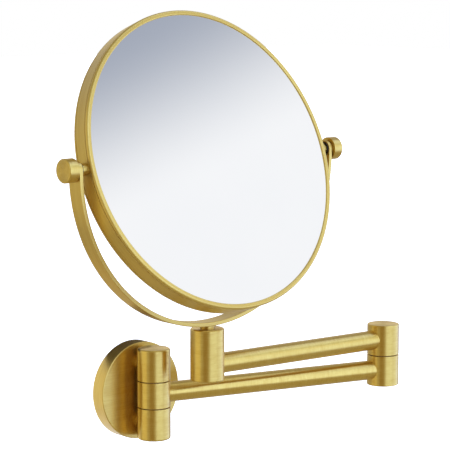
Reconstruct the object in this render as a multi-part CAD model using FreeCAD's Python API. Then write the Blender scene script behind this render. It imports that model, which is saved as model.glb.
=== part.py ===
import FreeCAD, Part
import math
import os
from FreeCAD import Placement, Rotation, Vector

# Wall-mounted extendable shaving mirror, in millimetres and degrees.
# The wall is the plane Y = 0 and the object stands off it towards -Y, with +Z up and
# +X to the right. The origin is the centre of the round cover, on the wall.

# Round wall cover and the bracket under it
COVER_DIAMETER = 65.3
COVER_DEPTH = 10.6
COVER_WALL = 3.0
COVER_FRONT = 2.6
COVER_EDGE = 0.4
BRACKET_THICKNESS = 6.0
BRACKET_GAP = 0.2
GROOVE_DEPTH = 1.2
GROOVE_FLOOR = 1.2
GROOVE_WALL = 1.5
WALL_SCREW_HOLE = 4.5
WALL_SCREW_SINK = 9.0
WALL_SCREW_INSET = 9.45
GRUB_DIAMETER = 4.0
GRUB_TIP = 0.8
GRUB_INSET = 0.3
GRUB_SOCKET = 2.0
GRUB_SOCKET_DEPTH = 1.4

# Post of three knuckles on two necks
NECK_SHOWN = 2.1
POST_MIDDLE_HEIGHT = 17.8
POST_END_HEIGHT = 21.6
KNUCKLE_DIAMETER = 22.2
KNUCKLE_ROUND = 1.4
SEAM_CHAMFER = 0.3
NECK_DIAMETER = 10.4
NECK_SEAT = 1.6
NECK_SCREW_DIAMETER = 5.0
NECK_SCREW_HEAD = 9.0
NECK_SCREW_HEAD_HEIGHT = 2.8
NECK_SCREW_HEAD_ROOM = 1.0
NECK_SCREW_SOCKET = 3.0
NECK_SCREW_CLEARANCE = 0.2
NECK_SCREW_STOP = 0.7

# Pivots of the post and the elbow
PIVOT_DIAMETER = 8.0
PIVOT_THREAD = 6.0
PIVOT_THREAD_LENGTH = 6.0
PIVOT_SHOULDER_SEAT = 2.0
PIVOT_HEAD = 11.0
PIVOT_HEAD_HEIGHT = 4.0
PIVOT_SOCKET = 5.0
PIVOT_SOCKET_DEPTH = 2.4
COUNTERBORE_ROOM = 0.5
COUNTERBORE_DEPTH = 5.4
SPRING_WASHER = 0.8
BUSH_WALL = 1.5
BUSH_FLANGE_INSET = 1.6
BUSH_LENGTH = 7.4
SEAM = 0.6

# Two arms of round tube
TUBE_DIAMETER = 13.5
TUBE_WALL = 1.5
TUBE_SEAT_WALL = 1.7
LOWER_ARM_LENGTH = 177.5
LOWER_ARM_SWING = 14.5
ELBOW_KNUCKLE_HEIGHT = 21.5
ELBOW_FOLD = 10.0
FOLD_CLEARANCE = 1.65

# Upright socket at the end of the upper arm
SOCKET_DIAMETER = 22.5
SOCKET_ABOVE_ARM = 24.6
SOCKET_BELOW_ARM = 10.1
SOCKET_ROUND = 1.2
SOCKET_FLOOR = 4.4
STEM_DIAMETER = 9.7
STEM_SHOWN = 2.0
THRUST_WASHER = 0.6
STEM_SCREW_DIAMETER = 5.0
STEM_SCREW_LENGTH = 8.0
STEM_SCREW_HEAD = 9.0
STEM_SCREW_HEAD_HEIGHT = 3.4
STEM_SCREW_SOCKET = 4.0

# Yoke: a flat band bent to a half circle, with short straight ears
YOKE_GAP = 5.2
BAND_THICKNESS = 2.75
BAND_WIDTH = 11.6
BAND_EDGE = 0.4
AXIS_RISE = 1.1
BAND_SCREW_DIAMETER = 4.0
BAND_SCREW_HEAD = 8.0
BAND_SCREW_SINK = 2.1
BAND_SCREW_SOCKET = 2.5
BAND_SCREW_LENGTH = 10.0

# Two-sided round mirror
MIRROR_DIAMETER = 200.0
MIRROR_TILT = 20.0
BEZEL_WIDTH = 3.5
BEZEL_DEPTH = 2.45
BEZEL_OUTER_ROUND = 1.5
BEZEL_INNER_ROUND = 0.8
BEZEL_LIP = 0.9
SKIRT_THICKNESS = 0.8
SKIRT_CLEARANCE = 0.1
SHELL_THICKNESS = 0.8
GLASS_THICKNESS = 2.5
CONCAVE_RADIUS = 1200.0
CORE_WIDTH = 12.0
CORE_SKIN = 0.26
BACKING_THICKNESS = 1.0
BACKING_GAP = 0.5

# Trunnions and clamping knobs on the tilt axis
TRUNNION_DIAMETER = 7.9
TRUNNION_SHANK = 6.0
TRUNNION_SHANK_LENGTH = 10.5
STUD_DIAMETER = 4.0
STUD_GRIP = 9.0
STUD_IN_KNOB = 5.0
TILT_WASHER = 0.6
TILT_WASHER_DIAMETER = 10.0
TILT_PLAY = 0.15
KNOB_DIAMETER = 15.3
KNOB_LENGTH = 7.5
KNOB_ROUND = 1.0
KNOB_INNER_CHAMFER = 0.4
COLLAR_DIAMETER = 9.0
COLLAR_LENGTH = 1.0

# Fits: radial clearances between a pin and its hole, and of a part in its seat
PIN_FIT = 0.05
SEAT_FIT = 0.03
CUT = 1.0

# Worked out from the sizes above
X, Y, Z = Vector(1, 0, 0), Vector(0, 1, 0), Vector(0, 0, 1)
ORIGIN = Vector(0, 0, 0)
COVER_RADIUS = COVER_DIAMETER / 2
COVER_INSIDE = COVER_RADIUS - COVER_WALL
BRACKET_RADIUS = COVER_INSIDE - BRACKET_GAP
WALL_SCREW_REACH = BRACKET_RADIUS - WALL_SCREW_INSET
KNUCKLE_RADIUS = KNUCKLE_DIAMETER / 2
POST_OFFSET = COVER_DEPTH + NECK_SHOWN + KNUCKLE_RADIUS
SOCKET_RADIUS = SOCKET_DIAMETER / 2
PIVOT_RADIUS = PIVOT_DIAMETER / 2
BUSH_BORE = PIVOT_RADIUS + PIN_FIT
BUSH_RADIUS = BUSH_BORE + BUSH_WALL
COUNTERBORE_RADIUS = PIVOT_HEAD / 2 + COUNTERBORE_ROOM
TUBE_RADIUS = TUBE_DIAMETER / 2
UPPER_ARM_LENGTH = LOWER_ARM_LENGTH - KNUCKLE_RADIUS - SOCKET_RADIUS - FOLD_CLEARANCE
STEM_RADIUS = STEM_DIAMETER / 2
TUBE_START = max(COUNTERBORE_RADIUS, BUSH_RADIUS, STEM_RADIUS) + TUBE_SEAT_WALL
NECK_RADIUS = NECK_DIAMETER / 2
NECK_HEIGHT = POST_MIDDLE_HEIGHT / 2 + POST_END_HEIGHT / 2
POST_TOP = POST_MIDDLE_HEIGHT / 2 + POST_END_HEIGHT
ELBOW_HALF = ELBOW_KNUCKLE_HEIGHT / 2
MIRROR_RADIUS = MIRROR_DIAMETER / 2
YOKE_RADIUS = MIRROR_RADIUS + YOKE_GAP
YOKE_OUTSIDE = YOKE_RADIUS + BAND_THICKNESS
GLASS_RADIUS = MIRROR_RADIUS - SHELL_THICKNESS - SKIRT_THICKNESS - 3 * SEAT_FIT
TRUNNION_FOOT = MIRROR_RADIUS - TRUNNION_SHANK_LENGTH
DISH_AT_FOOT = (GLASS_RADIUS ** 2 - TRUNNION_FOOT ** 2) / (2 * CONCAVE_RADIUS)
CORE_FACE = TRUNNION_SHANK / 2 + CORE_SKIN + DISH_AT_FOOT
GLASS_FACE = CORE_FACE + GLASS_THICKNESS
MIRROR_HALF = GLASS_FACE + BEZEL_LIP
SHELL_HALF = MIRROR_HALF - BEZEL_DEPTH
SKIRT_END = TRUNNION_SHANK / 2 + SKIRT_CLEARANCE
STUD_RADIUS = STUD_DIAMETER / 2
STUD_START = MIRROR_RADIUS - STUD_GRIP
KNOB_START = YOKE_OUTSIDE + COLLAR_LENGTH
KNOB_END = KNOB_START + KNOB_LENGTH

# Frames of the moving parts in the resting pose
POST_AXIS = Vector(0, -POST_OFFSET, 0)
LOWER_ARM = Placement(POST_AXIS, Rotation(Z, -LOWER_ARM_SWING))
ELBOW_AXIS = LOWER_ARM.multVec(X * LOWER_ARM_LENGTH)
UPPER_ARM = Placement(
    ELBOW_AXIS + Z * ELBOW_KNUCKLE_HEIGHT,
    Rotation(Z, 180 - LOWER_ARM_SWING + ELBOW_FOLD),
)
SOCKET_AXIS = UPPER_ARM.multVec(X * UPPER_ARM_LENGTH)
YOKE_RISE = SOCKET_ABOVE_ARM + STEM_SHOWN + YOKE_OUTSIDE
YOKE = Placement(SOCKET_AXIS + Z * YOKE_RISE, Rotation())
TILT_AXIS = YOKE.Base + Z * AXIS_RISE
MIRROR = Placement(TILT_AXIS, Rotation(X, -MIRROR_TILT))
WALL = Placement()


# Shapes shared by many pieces ------------------------------------------------------

def bar(radius, start, end):
    """Round bar between two points."""
    return Part.makeCylinder(radius, (end - start).Length, start, end - start)


def upright(radius, low, high):
    """Round bar along Z between two heights."""
    return bar(radius, Z * low, Z * high)


def tube(outer, inner, start, end):
    """Round tube between two points."""
    return bar(outer, start, end).cut(bar(inner, start, end))


def turned(points, axis=Z, across=X):
    """Solid turned about an axis from straight-sided (radius, height) points."""
    corners = [across * radius + axis * height for radius, height in points]
    outline = Part.makePolygon(corners + corners[:1])
    return Part.Face(outline).revolve(ORIGIN, axis, 360)


def hexagon(across_flats, start, end):
    """Hexagonal prism between two points, as cut by a broached socket."""
    along = (end - start).normalize()
    side = along.cross(Z if abs(along.z) < 0.5 else X).normalize()
    corner = side * (across_flats / math.sqrt(3))
    turns = [Rotation(along, 60 * step).multVec(corner) for step in range(7)]
    outline = Part.makePolygon([start + turn for turn in turns])
    return Part.Face(outline).extrude(end - start)


def rims(shape, radius, height=None, axis=Z):
    """Circular edges of one radius, at one height along an axis where given."""
    found = []
    for edge in shape.Edges:
        if not isinstance(edge.Curve, Part.Circle):
            continue
        if abs(edge.Curve.Radius - radius) > PIN_FIT / 2:
            continue
        if height is None or abs(edge.Curve.Center.dot(axis) - height) < PIN_FIT / 2:
            found.append(edge)
    return found


def rounded(shape, size, radius, height, axis=Z):
    """Shape with the rims at one height filleted."""
    return shape.makeFillet(size, rims(shape, radius, height, axis))


def chamfered(shape, size, radius, height, axis=Z):
    """Shape with the rims at one height chamfered."""
    return shape.makeChamfer(size, rims(shape, radius, height, axis))


def placed(shape, frame):
    """Shape moved from its own frame into the object's frame."""
    copy = shape.copy()
    copy.Placement = frame.multiply(copy.Placement)
    return copy


def socket_screw(head, head_height, shank, shank_length, socket, depth):
    """Hex-socket screw: the head below Z = 0, the shank above it."""
    screw = upright(head, -head_height, 0).fuse(upright(shank, 0, shank_length))
    screw = chamfered(screw.removeSplitter(), SEAM_CHAMFER, head, -head_height)
    return screw.cut(hexagon(socket, Z * (-head_height), Z * (depth - head_height)))


# Wall bracket, cover and necks -----------------------------------------------------

def wall_bracket():
    """Plate screwed to the wall, grooved round its rim for the cover's grub screw."""
    middle = BRACKET_THICKNESS / 2
    floor = GROOVE_FLOOR / 2
    plate = turned([
        (0, 0), (BRACKET_RADIUS, 0),
        (BRACKET_RADIUS, middle - floor - GROOVE_DEPTH),
        (BRACKET_RADIUS - GROOVE_DEPTH, middle - floor),
        (BRACKET_RADIUS - GROOVE_DEPTH, middle + floor),
        (BRACKET_RADIUS, middle + floor + GROOVE_DEPTH),
        (BRACKET_RADIUS, BRACKET_THICKNESS), (0, BRACKET_THICKNESS),
    ], axis=-Y)
    hole, sink = WALL_SCREW_HOLE / 2, WALL_SCREW_SINK / 2
    for side in (-1, 1):
        spot = X * (side * WALL_SCREW_REACH)
        face = spot - Y * BRACKET_THICKNESS
        plate = plate.cut(bar(hole, spot + Y * CUT, face - Y * CUT))
        plate = plate.cut(Part.makeCone(sink, hole, sink - hole, face, Y))
        plate = plate.cut(neck_screw_room(side))
    return plate


def neck_screw_room(side):
    """Space in the bracket for a neck screw's head, through where the groove allows it."""
    head = Z * (side * NECK_HEIGHT)
    radius = NECK_SCREW_HEAD / 2 + NECK_SCREW_HEAD_ROOM
    front = Y * (BRACKET_THICKNESS + CUT)
    through = bar(radius, head + Y * CUT, head - front)
    inside_groove = BRACKET_RADIUS - GROOVE_DEPTH - GROOVE_WALL
    through = through.common(bar(inside_groove, Y * CUT, -front))
    depth = COVER_DEPTH - COVER_FRONT - NECK_SCREW_HEAD_HEIGHT - NECK_SCREW_HEAD_ROOM
    return through.fuse(bar(radius, head - Y * depth, head - front)).removeSplitter()


def wall_cover():
    """Round cup over the bracket, bored for the neck screws and the grub screw."""
    cup = bar(COVER_RADIUS, ORIGIN, Y * -COVER_DEPTH)
    cup = chamfered(cup, COVER_EDGE, COVER_RADIUS, COVER_DEPTH, -Y)
    cup = cup.cut(bar(COVER_INSIDE, Y * CUT, Y * (COVER_FRONT - COVER_DEPTH)))
    hole = NECK_SCREW_DIAMETER / 2 + NECK_SCREW_CLEARANCE
    for side in (-1, 1):
        head = Z * (side * NECK_HEIGHT)
        cup = cup.cut(bar(hole, head, head - Y * (COVER_DEPTH + CUT)))
    low = Y * (-BRACKET_THICKNESS / 2)
    tapped = GRUB_DIAMETER / 2 + SEAT_FIT
    return cup.cut(bar(tapped, low - Z * (COVER_RADIUS + CUT), low - Z * (COVER_INSIDE - CUT)))


def cover_grub_screw():
    """Set screw in the cover's underside, its cone in the bracket's groove."""
    radius = GRUB_DIAMETER / 2
    tip = GRUB_TIP / 2
    top = -(BRACKET_RADIUS - GROOVE_DEPTH + SEAT_FIT)
    base = -(COVER_RADIUS - GRUB_INSET)
    screw = turned([(0, top), (tip, top), (radius, top - radius + tip), (radius, base), (0, base)])
    screw = screw.cut(hexagon(GRUB_SOCKET, Z * base, Z * (base + GRUB_SOCKET_DEPTH)))
    return placed(screw, Placement(Y * (-BRACKET_THICKNESS / 2), Rotation()))


def neck_seat_depth():
    """Distance from the wall to the flat that a neck stands on."""
    return POST_OFFSET - KNUCKLE_RADIUS + NECK_SEAT


def neck(side):
    """Round distance piece between the cover and a post knuckle."""
    centre = Z * (side * NECK_HEIGHT)
    hole = NECK_SCREW_DIAMETER / 2 + NECK_SCREW_CLEARANCE
    return tube(NECK_RADIUS, hole, centre - Y * COVER_DEPTH, centre - Y * neck_seat_depth())


def neck_screw(side):
    """Screw from inside the cover through the neck into a post knuckle."""
    seat = COVER_DEPTH - COVER_FRONT
    reach = POST_OFFSET - PIVOT_RADIUS - PIN_FIT - NECK_SCREW_STOP
    screw = socket_screw(
        NECK_SCREW_HEAD / 2, NECK_SCREW_HEAD_HEIGHT, NECK_SCREW_DIAMETER / 2,
        reach - seat, NECK_SCREW_SOCKET, NECK_SCREW_HEAD_HEIGHT / 2,
    )
    return placed(screw, Placement(Vector(0, -seat, side * NECK_HEIGHT), Rotation(Z, -Y)))


# Knuckles, pivot screws and bushes -------------------------------------------------

def knuckle(low, high):
    """Round knuckle about Z, chamfered at both ends."""
    body = upright(KNUCKLE_RADIUS, low, high)
    return body.makeChamfer(SEAM_CHAMFER, rims(body, KNUCKLE_RADIUS))


def end_knuckle(seam, end):
    """Knuckle at the end of a post: chamfered at the seam, rounded at the free end."""
    body = upright(KNUCKLE_RADIUS, min(seam, end), max(seam, end))
    body = chamfered(body, SEAM_CHAMFER, KNUCKLE_RADIUS, seam)
    return rounded(body, KNUCKLE_ROUND, KNUCKLE_RADIUS, end)


def pivot_tap(seam):
    """Space for the shoulder and thread of a pivot screw above a seam."""
    shoulder = seam + PIVOT_SHOULDER_SEAT
    thread = PIVOT_THREAD / 2 + SEAT_FIT
    depth = shoulder + PIVOT_THREAD_LENGTH + CUT
    return upright(BUSH_BORE, seam - CUT, shoulder).fuse(upright(thread, shoulder, depth))


def pivot_screw(head_top, seam):
    """Shoulder screw from below, with its thread above the seam it draws together."""
    shoulder = seam + PIVOT_SHOULDER_SEAT - SEAT_FIT
    screw = socket_screw(
        PIVOT_HEAD / 2, PIVOT_HEAD_HEIGHT, PIVOT_RADIUS, shoulder - head_top,
        PIVOT_SOCKET, PIVOT_SOCKET_DEPTH,
    )
    screw = placed(screw, Placement(Z * head_top, Rotation()))
    thread = upright(PIVOT_THREAD / 2, shoulder, shoulder + PIVOT_THREAD_LENGTH)
    return screw.fuse(thread).removeSplitter()


def spring_washer(outer, bore, seat):
    """Conical spring washer under a screw head, with its cone up to a seat."""
    wall = SPRING_WASHER / 2
    base = seat - SPRING_WASHER
    return turned([
        (bore, seat - wall), (outer, base), (outer, base + wall), (bore, seat),
    ])


def bush(seat, inward):
    """Flanged plain bearing with its flange on a knuckle's end face."""
    face = seat - inward * SEAM
    foot = seat + inward * BUSH_LENGTH
    flange = KNUCKLE_RADIUS - BUSH_FLANGE_INSET
    return turned([
        (BUSH_BORE, face), (flange, face), (flange, seat),
        (BUSH_RADIUS, seat), (BUSH_RADIUS, foot), (BUSH_BORE, foot),
    ])


def sleeve(low, high):
    """Plain bearing without a flange."""
    return tube(BUSH_RADIUS, BUSH_BORE, Z * low, Z * high)


def tube_seat(length, end):
    """Blind bore that an arm tube's end sits in, along X from TUBE_START."""
    near = TUBE_START if end == 0 else length - TUBE_START
    far = length / 2
    return bar(TUBE_RADIUS + SEAT_FIT, X * near, X * far)


# Post on the wall ------------------------------------------------------------------

POST_SEAM = POST_MIDDLE_HEIGHT / 2 + SEAM / 2


def neck_socket(side):
    """Spot face and tapped hole for a neck, in the post's own frame."""
    centre = Z * (side * NECK_HEIGHT)
    seat = centre + Y * (POST_OFFSET - neck_seat_depth())
    stop = centre + Y * (PIVOT_RADIUS + PIN_FIT + NECK_SCREW_STOP - SEAT_FIT)
    face = bar(NECK_RADIUS + PIN_FIT, seat, centre + Y * (KNUCKLE_RADIUS + CUT))
    return face.fuse(bar(NECK_SCREW_DIAMETER / 2 + SEAT_FIT, stop, seat))


def post_top_knuckle():
    """Fixed top knuckle, tapped from below for the pivot screw."""
    body = end_knuckle(POST_SEAM, POST_TOP)
    return body.cut(pivot_tap(POST_SEAM)).cut(neck_socket(1))


def post_bottom_knuckle():
    """Fixed bottom knuckle, counterbored for the pivot screw's head."""
    body = end_knuckle(-POST_SEAM, -POST_TOP)
    body = body.cut(upright(BUSH_BORE, -POST_TOP, -POST_SEAM + CUT))
    body = body.cut(upright(COUNTERBORE_RADIUS, -POST_TOP - CUT, COUNTERBORE_DEPTH - POST_TOP))
    return body.cut(neck_socket(-1))


def post_spring_washer():
    """Spring washer between the pivot screw's head and the counterbore's floor."""
    return spring_washer(PIVOT_HEAD / 2, BUSH_BORE, COUNTERBORE_DEPTH - POST_TOP)


def post_pivot_screw():
    """Pivot screw through the post's three knuckles."""
    return pivot_screw(COUNTERBORE_DEPTH - POST_TOP - SPRING_WASHER, POST_SEAM)


# Lower arm -------------------------------------------------------------------------

MIDDLE_HALF = POST_MIDDLE_HEIGHT / 2 - SEAM / 2
ELBOW_SEAM = ELBOW_HALF - SEAM / 2


def post_middle_knuckle():
    """Swinging knuckle between the two fixed ones, with the lower tube's seat."""
    body = knuckle(-MIDDLE_HALF, MIDDLE_HALF)
    body = body.cut(upright(BUSH_RADIUS + SEAT_FIT, -MIDDLE_HALF - CUT, MIDDLE_HALF + CUT))
    return body.cut(tube_seat(LOWER_ARM_LENGTH, 0))


def lower_arm_tube():
    """Tube from the post to the elbow."""
    start, end = X * TUBE_START, X * (LOWER_ARM_LENGTH - TUBE_START)
    return tube(TUBE_RADIUS, TUBE_RADIUS - TUBE_WALL, start, end)


def elbow_lower_knuckle():
    """Elbow's lower knuckle, about its own axis at the lower arm's height."""
    body = knuckle(-ELBOW_HALF, ELBOW_SEAM)
    body = body.cut(upright(BUSH_RADIUS + SEAT_FIT, -ELBOW_HALF, ELBOW_SEAM + CUT))
    floor = COUNTERBORE_DEPTH - ELBOW_HALF
    body = body.cut(upright(COUNTERBORE_RADIUS, -ELBOW_HALF - CUT, floor))
    seat = tube_seat(LOWER_ARM_LENGTH, 1)
    seat.translate(X * -LOWER_ARM_LENGTH)
    return body.cut(seat)


# Upper arm -------------------------------------------------------------------------

def elbow_upper_knuckle():
    """Elbow's upper knuckle, about its own axis at the upper arm's height."""
    seam = SEAM / 2 - ELBOW_HALF
    body = knuckle(seam, ELBOW_HALF)
    return body.cut(pivot_tap(seam)).cut(tube_seat(UPPER_ARM_LENGTH, 0))


def elbow_floor():
    """Height of the elbow counterbore's floor in the upper arm's frame."""
    return COUNTERBORE_DEPTH - ELBOW_HALF - ELBOW_KNUCKLE_HEIGHT


def elbow_pivot_screw():
    """Pivot screw from below the elbow into its upper knuckle."""
    return pivot_screw(elbow_floor() - SPRING_WASHER, SEAM / 2 - ELBOW_HALF)


def elbow_spring_washer():
    """Spring washer under the elbow screw's head."""
    return spring_washer(PIVOT_HEAD / 2, BUSH_BORE, elbow_floor())


def upper_arm_tube():
    """Tube from the elbow to the yoke's socket."""
    start, end = X * TUBE_START, X * (UPPER_ARM_LENGTH - TUBE_START)
    return tube(TUBE_RADIUS, TUBE_RADIUS - TUBE_WALL, start, end)


def stem_floor():
    """Height of the floor under the stem, above the upper arm's axis."""
    return COUNTERBORE_DEPTH + SOCKET_FLOOR - SOCKET_BELOW_ARM


def yoke_socket():
    """Upright socket that the yoke's stem turns in."""
    body = upright(SOCKET_RADIUS, -SOCKET_BELOW_ARM, SOCKET_ABOVE_ARM)
    body = body.makeFillet(SOCKET_ROUND, rims(body, SOCKET_RADIUS))
    body = body.cut(upright(STEM_RADIUS + PIN_FIT, stem_floor(), SOCKET_ABOVE_ARM + CUT))
    screw_hole = STEM_SCREW_DIAMETER / 2 + PIN_FIT
    body = body.cut(upright(screw_hole, -SOCKET_BELOW_ARM, stem_floor() + CUT))
    under = COUNTERBORE_DEPTH - SOCKET_BELOW_ARM
    body = body.cut(upright(COUNTERBORE_RADIUS, -SOCKET_BELOW_ARM - CUT, under))
    seat = tube_seat(UPPER_ARM_LENGTH, 1)
    seat.translate(X * -UPPER_ARM_LENGTH)
    return body.cut(seat)


# Yoke, in a frame at the centre of its half circle ---------------------------------

def band_section(half_width, low):
    """Chamfered section of the band at +X, from a height along Y to the half width."""
    inner, outer, edge = YOKE_RADIUS, YOKE_OUTSIDE, BAND_EDGE
    corners = [(inner, half_width - edge), (inner + edge, half_width)]
    corners += [(outer - edge, half_width), (outer, half_width - edge)]
    if low == 0:
        corners += [(outer, 0), (inner, 0)]
    else:
        corners += [(radius, -across) for radius, across in reversed(corners)]
    points = [X * radius + Y * across for radius, across in corners]
    return Part.Face(Part.makePolygon(points + points[:1]))


def yoke_ear():
    """Straight ear at +X with its end rounded about the tilt axis."""
    half = BAND_WIDTH / 2
    ear = band_section(half, -half).extrude(Z * AXIS_RISE)
    end = band_section(half, 0).revolve(ORIGIN, X, 180)
    end.translate(Z * AXIS_RISE)
    return ear.fuse(end)


def yoke_band():
    """Flat band bent to a half circle between two ears."""
    half = BAND_WIDTH / 2
    band = band_section(half, -half).revolve(ORIGIN, Y, 180)
    ear = yoke_ear()
    band = band.fuse(ear).fuse(ear.mirror(ORIGIN, X)).removeSplitter()
    reach = YOKE_OUTSIDE + CUT
    hole = bar(STUD_RADIUS + 2 * PIN_FIT, X * -reach, X * reach)
    hole.translate(Z * AXIS_RISE)
    foot = -band_screw_seat()
    face = foot + BAND_SCREW_SINK
    head, shank = BAND_SCREW_HEAD / 2, BAND_SCREW_DIAMETER / 2
    sink = Part.makeCone(head, shank, BAND_SCREW_SINK, Z * face, -Z)
    drop = upright(head, face, CUT - YOKE_RADIUS)
    return band.cut(hole).cut(sink).cut(drop).cut(upright(shank + SEAT_FIT, -reach, foot + CUT))


def band_screw_seat():
    """Depth of the foot of the band screw's countersink below the yoke's centre."""
    return YOKE_RADIUS + SEAT_FIT + BAND_SCREW_SINK


def yoke_stem():
    """Turning stem under the band, tapped at both ends."""
    top = Z * -YOKE_RADIUS
    bottom = Z * (stem_floor() + THRUST_WASHER - YOKE_RISE)
    stem = bar(STEM_RADIUS, bottom, top)
    stem = stem.cut(bar(YOKE_OUTSIDE, Y * -STEM_DIAMETER, Y * STEM_DIAMETER))
    upper = BAND_SCREW_DIAMETER / 2 + SEAT_FIT
    stem = stem.cut(bar(upper, top, top - Z * (BAND_SCREW_LENGTH + CUT)))
    lower = STEM_SCREW_DIAMETER / 2 + SEAT_FIT
    return stem.cut(bar(lower, bottom, bottom + Z * (STEM_SCREW_LENGTH + CUT)))


def band_screw():
    """Countersunk screw from inside the band down into the stem."""
    head, shank = BAND_SCREW_HEAD / 2, BAND_SCREW_DIAMETER / 2
    face = BAND_SCREW_SINK - band_screw_seat()
    fit = SEAT_FIT
    screw = turned([
        (0, face), (head - fit, face), (shank, face - BAND_SCREW_SINK + fit),
        (shank, face - BAND_SCREW_LENGTH), (0, face - BAND_SCREW_LENGTH),
    ])
    depth = BAND_SCREW_SINK / 2
    return screw.cut(hexagon(BAND_SCREW_SOCKET, Z * face, Z * (face - depth)))


def socket_underside():
    """Height of the socket's counterbore floor in the yoke's frame."""
    return COUNTERBORE_DEPTH - SOCKET_BELOW_ARM - YOKE_RISE


def stem_thrust_washer():
    """Washer that carries the stem's foot on the socket's floor."""
    low = stem_floor() - YOKE_RISE
    return tube(STEM_RADIUS, STEM_SCREW_DIAMETER / 2 + PIN_FIT, Z * low, Z * (low + THRUST_WASHER))


def stem_spring_washer():
    """Spring washer that loads the yoke's swivel from below."""
    bore = STEM_SCREW_DIAMETER / 2 + PIN_FIT
    return spring_washer(STEM_SCREW_HEAD / 2, bore, socket_underside())


def stem_screw():
    """Retaining screw from under the socket up into the stem."""
    head_top = socket_underside() - SPRING_WASHER
    foot = stem_floor() + THRUST_WASHER - YOKE_RISE
    screw = socket_screw(
        STEM_SCREW_HEAD / 2, STEM_SCREW_HEAD_HEIGHT, STEM_SCREW_DIAMETER / 2,
        foot + STEM_SCREW_LENGTH - head_top, STEM_SCREW_SOCKET, STEM_SCREW_HEAD_HEIGHT / 2,
    )
    return placed(screw, Placement(Z * head_top, Rotation()))


# Mirror, in a frame on the tilt axis with its plain face towards -Y ----------------

CENTRE = Z * -AXIS_RISE


def glass_seat(facing):
    """Mirror-frame direction that a face looks along: +1 plain, -1 magnifying."""
    return Y * -facing


def trunnion_bore():
    """Hole for both trunnions along the tilt axis."""
    reach = MIRROR_RADIUS + CUT
    return bar(TRUNNION_SHANK / 2 + SEAT_FIT, X * -reach, X * reach)


def mirror_shell():
    """Thin cylindrical side wall, chamfered where it meets the bezels."""
    ends = (CENTRE - Y * SHELL_HALF, CENTRE + Y * SHELL_HALF)
    wall = bar(MIRROR_RADIUS, *ends)
    wall = wall.makeChamfer(SEAM_CHAMFER, rims(wall, MIRROR_RADIUS))
    return wall.cut(bar(MIRROR_RADIUS - SHELL_THICKNESS, *ends)).cut(trunnion_bore())


def bezel(facing):
    """Rounded ring over a glass edge, its skirt pressed inside the side wall."""
    inner = MIRROR_RADIUS - BEZEL_WIDTH
    skirt = MIRROR_RADIUS - SHELL_THICKNESS - SEAT_FIT
    along = glass_seat(facing)
    ring = turned([
        (inner, GLASS_FACE), (inner, MIRROR_HALF), (MIRROR_RADIUS, MIRROR_HALF),
        (MIRROR_RADIUS, SHELL_HALF), (skirt, SHELL_HALF), (skirt, SKIRT_END),
        (skirt - SKIRT_THICKNESS, SKIRT_END),
        (skirt - SKIRT_THICKNESS, GLASS_FACE),
    ], axis=along)
    ring = rounded(ring, BEZEL_OUTER_ROUND, MIRROR_RADIUS, MIRROR_HALF, along)
    ring = rounded(ring, BEZEL_INNER_ROUND, inner, MIRROR_HALF, along)
    ring = chamfered(ring, SEAM_CHAMFER, MIRROR_RADIUS, SHELL_HALF, along)
    ring.translate(CENTRE)
    return ring


def plain_glass():
    """Flat mirror glass of the plain side."""
    return bar(GLASS_RADIUS, CENTRE - Y * CORE_FACE, CENTRE - Y * GLASS_FACE)


def concave_centre():
    """Distance of the concave glass's sphere centre from the mirror's mid-plane."""
    return GLASS_FACE + math.sqrt(CONCAVE_RADIUS ** 2 - GLASS_RADIUS ** 2)


def magnifying_glass():
    """Concave mirror glass of the magnifying side, of even thickness."""
    disc = bar(GLASS_RADIUS, CENTRE - Y * CORE_FACE, CENTRE + Y * GLASS_FACE)
    centre = CENTRE + Y * concave_centre()
    dish = Part.makeSphere(CONCAVE_RADIUS, centre)
    back = Part.makeSphere(CONCAVE_RADIUS + GLASS_THICKNESS, centre)
    return disc.common(back).cut(dish)


def core_ring():
    """Moulded ring that holds the two glasses apart and carries the trunnions."""
    faces = (CENTRE - Y * CORE_FACE, CENTRE + Y * CORE_FACE)
    ring = tube(GLASS_RADIUS, GLASS_RADIUS - CORE_WIDTH, *faces)
    back = Part.makeSphere(
        CONCAVE_RADIUS + GLASS_THICKNESS + SEAT_FIT, CENTRE + Y * concave_centre()
    )
    return ring.cut(back).cut(trunnion_bore())


def glass_backing():
    """Thin board glued behind the plain glass, inside the core ring."""
    radius = GLASS_RADIUS - CORE_WIDTH - BACKING_GAP
    face = CENTRE - Y * CORE_FACE
    return bar(radius, face, face + Y * BACKING_THICKNESS)


def trunnion(side):
    """Threaded bush in the core ring that stands out to the yoke's band."""
    bore = STUD_RADIUS + PIN_FIT
    shank, neck_radius = TRUNNION_SHANK / 2, TRUNNION_DIAMETER / 2
    tip = YOKE_RADIUS - TILT_PLAY - TILT_WASHER
    return turned([
        (bore, TRUNNION_FOOT), (shank, TRUNNION_FOOT),
        (shank, MIRROR_RADIUS), (neck_radius, MIRROR_RADIUS),
        (neck_radius, tip), (bore, tip),
    ], axis=X * side, across=Z)


def tilt_washer(side):
    """Friction washer between a trunnion and the band's ear."""
    start = YOKE_RADIUS - TILT_PLAY - TILT_WASHER
    ends = (X * (side * start), X * (side * (start + TILT_WASHER)))
    return tube(TILT_WASHER_DIAMETER / 2, STUD_RADIUS + PIN_FIT, *ends)


def knob(side):
    """Turned knob with a collar that bears on the band's ear."""
    along = X * side
    radius, collar = KNOB_DIAMETER / 2, COLLAR_DIAMETER / 2
    body = turned([
        (0, YOKE_OUTSIDE), (collar, YOKE_OUTSIDE), (collar, KNOB_START),
        (radius, KNOB_START), (radius, KNOB_END), (0, KNOB_END),
    ], axis=along, across=Z)
    body = rounded(body, KNOB_ROUND, radius, KNOB_END, along)
    body = chamfered(body, KNOB_INNER_CHAMFER, radius, KNOB_START, along)
    reach = KNOB_START + STUD_IN_KNOB
    return body.cut(bar(STUD_RADIUS + SEAT_FIT, ORIGIN, along * (reach + SEAT_FIT)))


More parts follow.
